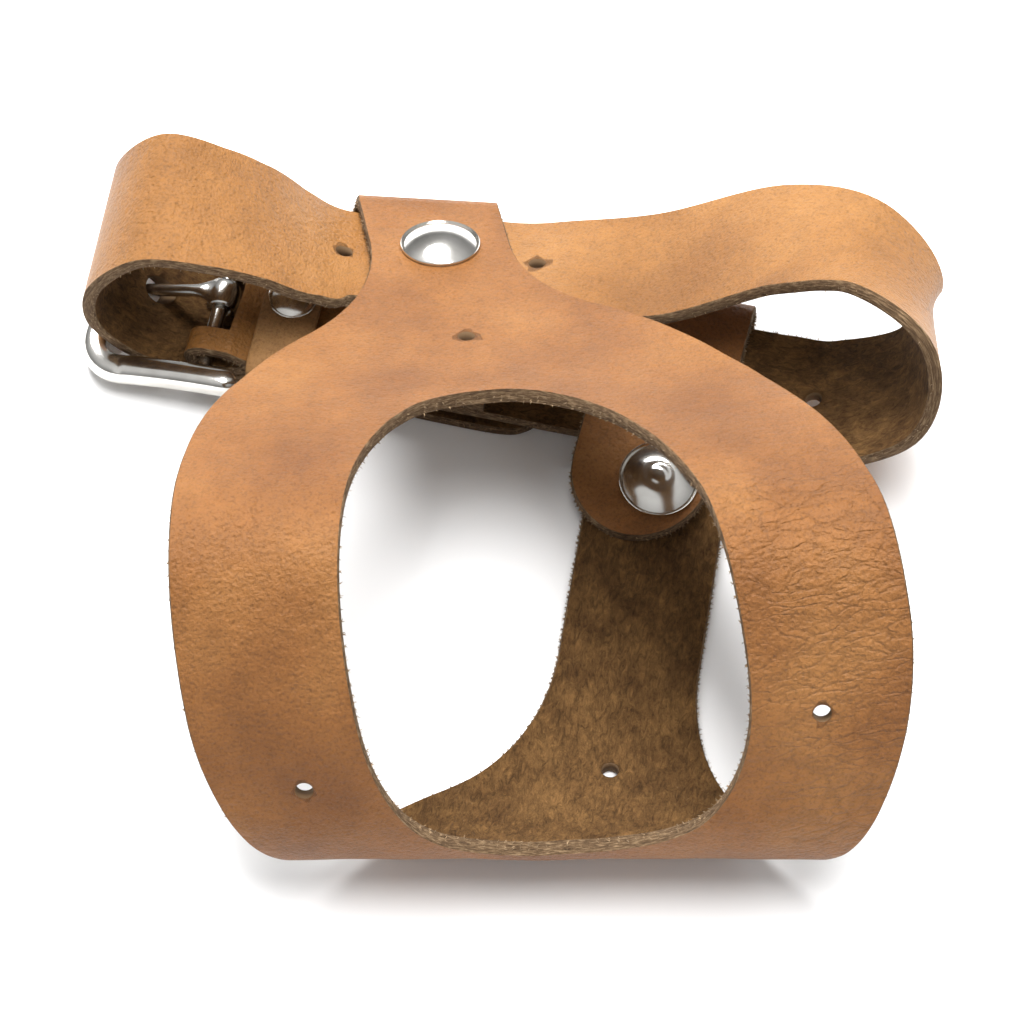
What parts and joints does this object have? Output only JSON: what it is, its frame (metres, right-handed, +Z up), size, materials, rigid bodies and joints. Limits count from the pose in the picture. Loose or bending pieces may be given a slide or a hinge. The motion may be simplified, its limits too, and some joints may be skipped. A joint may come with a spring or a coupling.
{
  "type": "gymnastics hand grip",
  "caption": "Leather palm harness: an oval palm ring with a hand opening, bent into a U and riveted round a buckled wrist strap.",
  "frame": {"origin": "centre of the bounding box on the table plane, the plane the harness lies on", "axes": "+X to the right along the wrist strap, +Y from the palm bend towards the strap, +Z up from the table"},
  "size_m": [0.1024, 0.091, 0.0422],
  "materials": {
    "palm_leather": "matte",
    "strap_leather": "matte",
    "keeper_leather": "matte",
    "nickel": "polished"
  },
  "bodies": {
    "leather": {"palm_loop": "palm_leather", "wrist_strap": "strap_leather", "keeper": "keeper_leather", "front_rivet_cap": "nickel", "front_rivet_socket": "nickel", "front_rivet_post": "nickel", "front_rivet_base": "nickel", "back_rivet_cap": "nickel", "back_rivet_socket": "nickel", "back_rivet_post": "nickel", "back_rivet_base": "nickel", "keeper_rivet_cap": "nickel", "keeper_rivet_socket": "nickel", "keeper_rivet_post": "nickel", "flap_rivet_cap": "nickel", "flap_rivet_socket": "nickel", "flap_rivet_post": "nickel"},
    "buckle": {"buckle_frame": "nickel", "buckle_bar": "nickel"},
    "prong": {"buckle_prong": "nickel"}
  },
  "joints": [
    {"name": "buckle_hinge", "type": "hinge", "parent": "leather", "child": "buckle", "pos_m": [-0.034, 0.03022, 0.0049], "axis": [0.2079, 0.9781, 0], "range_deg": [-0.5, 1.5]},
    {"name": "prong_hinge", "type": "hinge", "parent": "buckle", "child": "prong", "pos_m": [-0.034, 0.03022, 0.0049], "axis": [0.2079, 0.9781, 0], "range_deg": [-2, 0]}
  ]
}
